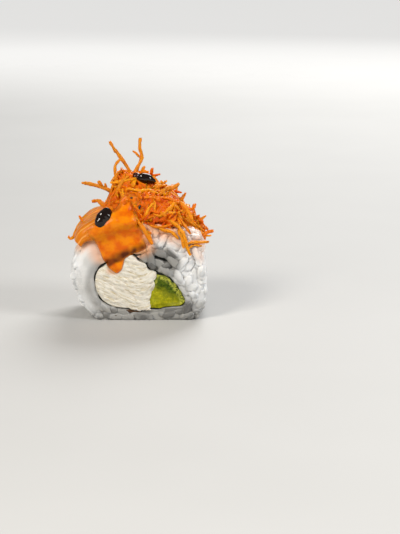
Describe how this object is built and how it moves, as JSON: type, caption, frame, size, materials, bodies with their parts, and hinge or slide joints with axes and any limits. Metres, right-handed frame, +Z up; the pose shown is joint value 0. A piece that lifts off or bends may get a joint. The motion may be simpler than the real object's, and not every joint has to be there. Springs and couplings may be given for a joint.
{
  "type": "uramaki roll",
  "caption": "Cut piece of an inside-out rice roll with a seaweed spiral, cream cheese and avocado, a salmon slice and crisp carrot strands on top, resting on its flat underside.",
  "frame": {"origin": "middle of the roll's length on its flat underside, under the middle of the filled roll", "axes": "+Z up, -Y out of the cut face that shows the filling, +X to the right seen from that face"},
  "size_m": [0.0519, 0.0322, 0.0608],
  "materials": {
    "rice": "moist white grains, slightly translucent",
    "seaweed": "black-green, thin and slightly rough",
    "cream_cheese": "cream white, drawn into soft streaks",
    "avocado": "soft moist green, darker near the skin side",
    "salmon": "moist orange with pale fat lines",
    "fried_carrot": "crisp fried orange strands with an oily shine",
    "dark_sauce": "very glossy dark brown",
    "orange_glaze": "thin translucent orange sauce, glossy"
  },
  "bodies": {
    "root": {"rice": "rice", "nori": "seaweed", "cream_cheese": "cream_cheese", "avocado": "avocado", "salmon": "salmon", "carrot_heap": "fried_carrot", "dark_sauce_left": "dark_sauce", "dark_sauce_top": "dark_sauce"}
  },
  "joints": []
}
